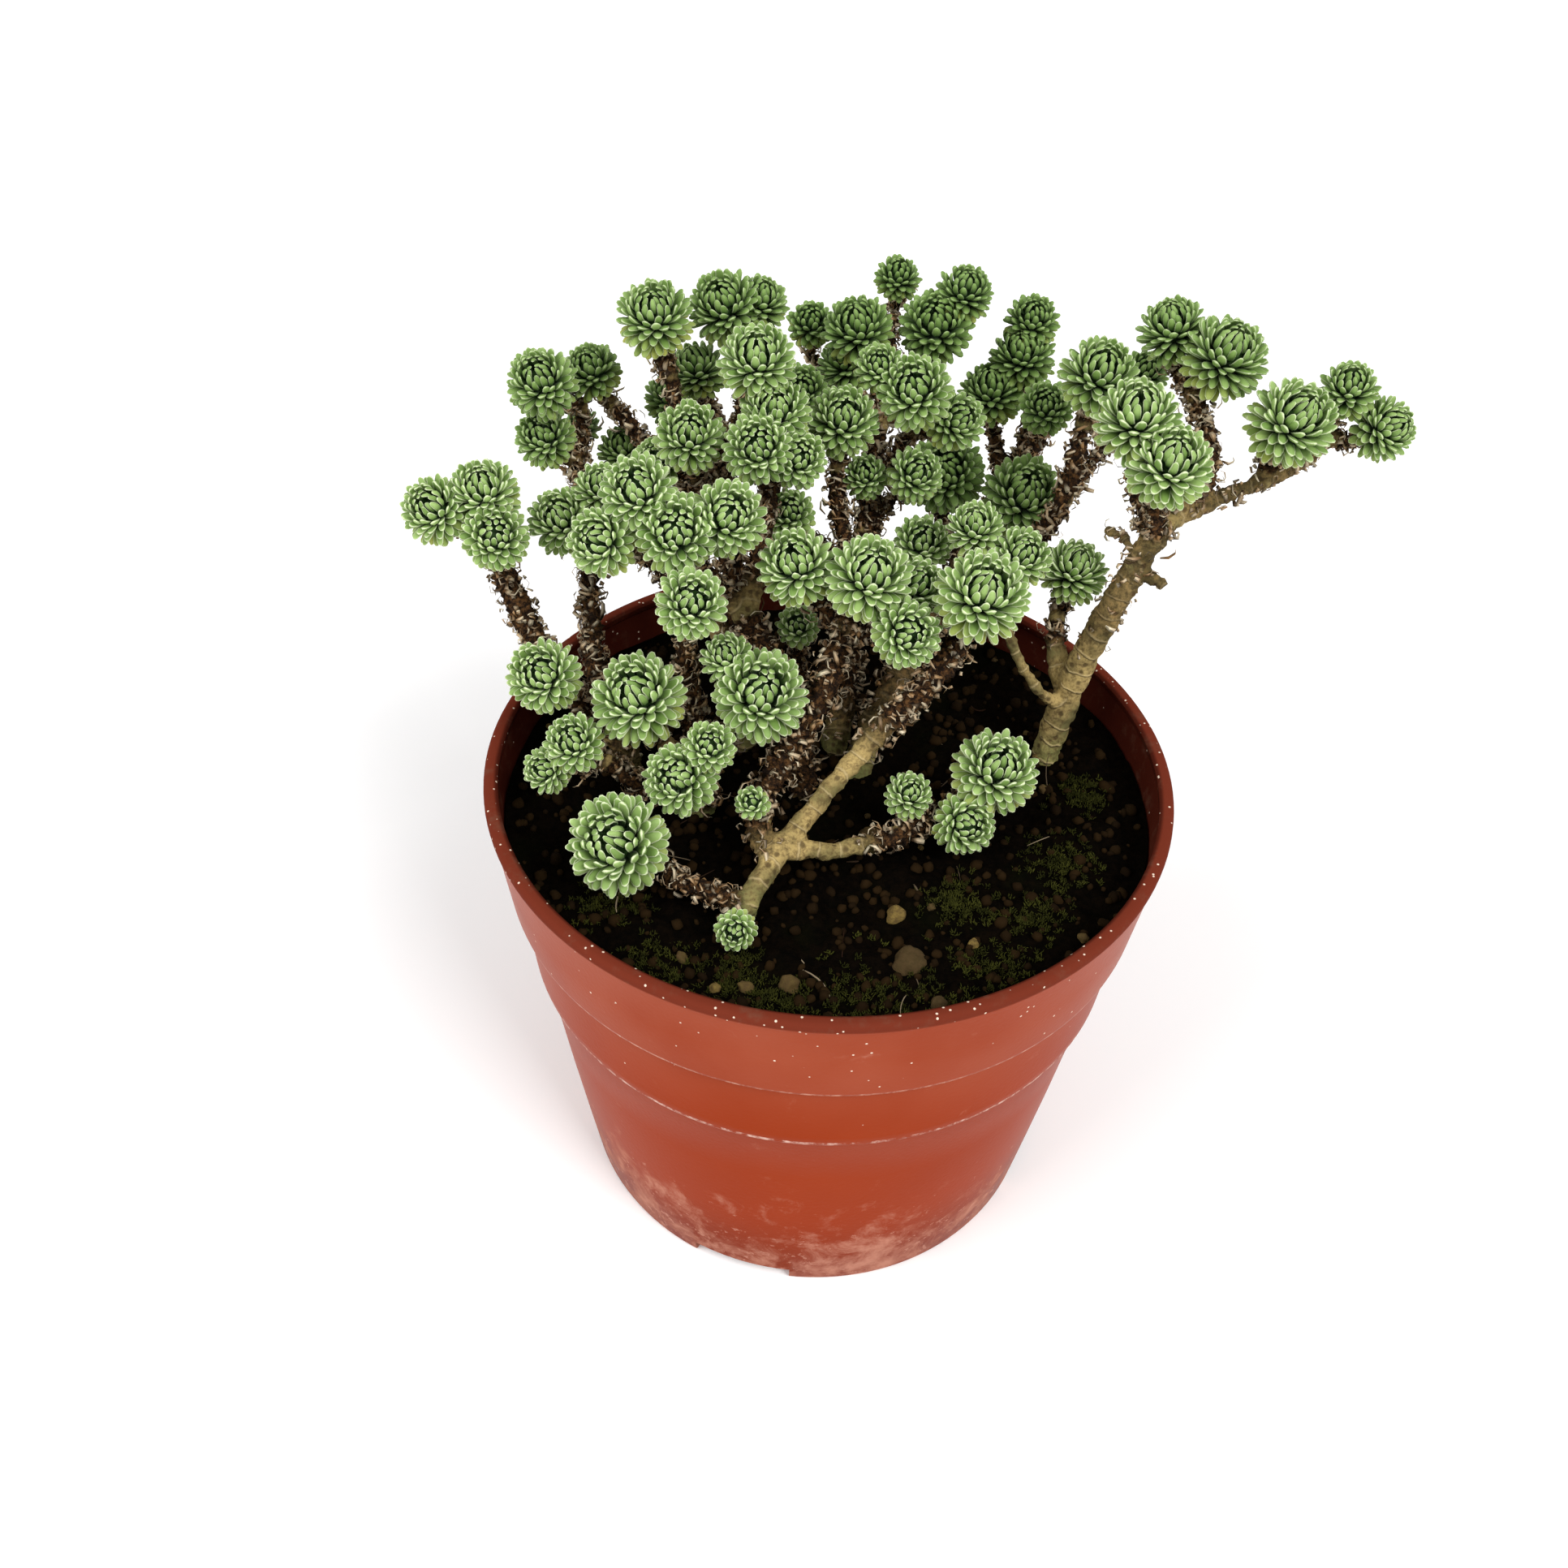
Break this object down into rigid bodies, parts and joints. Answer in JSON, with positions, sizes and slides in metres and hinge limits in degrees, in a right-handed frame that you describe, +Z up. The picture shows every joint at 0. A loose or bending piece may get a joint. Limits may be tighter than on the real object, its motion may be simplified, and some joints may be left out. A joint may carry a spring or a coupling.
{
  "type": "potted sedum multiceps",
  "caption": "Small shrubby succulent with round rosettes of blunt grey-green leaves on forked woody stems, standing in soil in a round terracotta-coloured plastic nursery pot.",
  "frame": {"origin": "centre of the pot's base, on the surface that the pot stands on", "axes": "+Z up along the pot's axis, -Y towards the front of the plant, +X to its right seen from the front"},
  "size_m": [0.15, 0.126, 0.1395],
  "materials": {
    "pot_plastic": "moulded, semi-gloss",
    "soil": "loose, damp",
    "bark": "rough",
    "leaves": "waxy, finely papillose"
  },
  "bodies": {
    "root": {"pot": "pot_plastic", "soil": "soil", "trunk_front": "bark", "trunk_right": "bark", "trunk_front_left": "bark", "trunk_left": "bark", "trunk_centre": "bark", "trunk_back_left": "bark", "trunk_back": "bark", "trunk_back_right": "bark", "rosettes_left_tip": "leaves", "rosettes_left": "leaves", "rosettes_back_left_1": "leaves", "rosettes_back_left_2": "leaves", "rosettes_back_left_3": "leaves", "rosettes_back_left_4": "leaves", "rosettes_top_left_1": "leaves", "rosettes_top_left_2": "leaves", "rosettes_top_left_3": "leaves", "rosettes_top_left_4": "leaves", "rosettes_top_left_5": "leaves", "rosettes_top_left_6": "leaves", "rosettes_top_1": "leaves", "rosettes_top_2": "leaves", "rosettes_top_3": "leaves", "rosettes_mid_left_1": "leaves", "rosettes_mid_left_2": "leaves", "rosettes_back_1": "leaves", "rosettes_back_2": "leaves", "rosettes_back_3": "leaves", "rosettes_back_4": "leaves", "rosettes_back_5": "leaves", "rosettes_back_6": "leaves", "rosettes_back_7": "leaves", "rosettes_back_8": "leaves", "rosettes_back_right_1": "leaves", "rosettes_back_right_2": "leaves", "rosettes_back_right_3": "leaves", "rosettes_right_1": "leaves", "rosettes_right_2": "leaves", "rosettes_right_3": "leaves", "rosettes_right_4": "leaves", "rosettes_right_5": "leaves", "rosettes_right_tip": "leaves", "rosettes_centre_1": "leaves", "rosettes_centre_2": "leaves", "rosettes_centre_3": "leaves", "rosettes_centre_4": "leaves", "rosettes_centre_5": "leaves", "rosettes_centre_6": "leaves", "rosettes_front_1": "leaves", "rosettes_front_2": "leaves", "rosettes_front_3": "leaves", "rosettes_front_4": "leaves", "rosettes_front_5": "leaves", "rosettes_front_6": "leaves", "rosettes_front_7": "leaves", "rosettes_low_right_1": "leaves", "rosettes_low_right_2": "leaves", "rosettes_sprout": "leaves"}
  },
  "joints": []
}
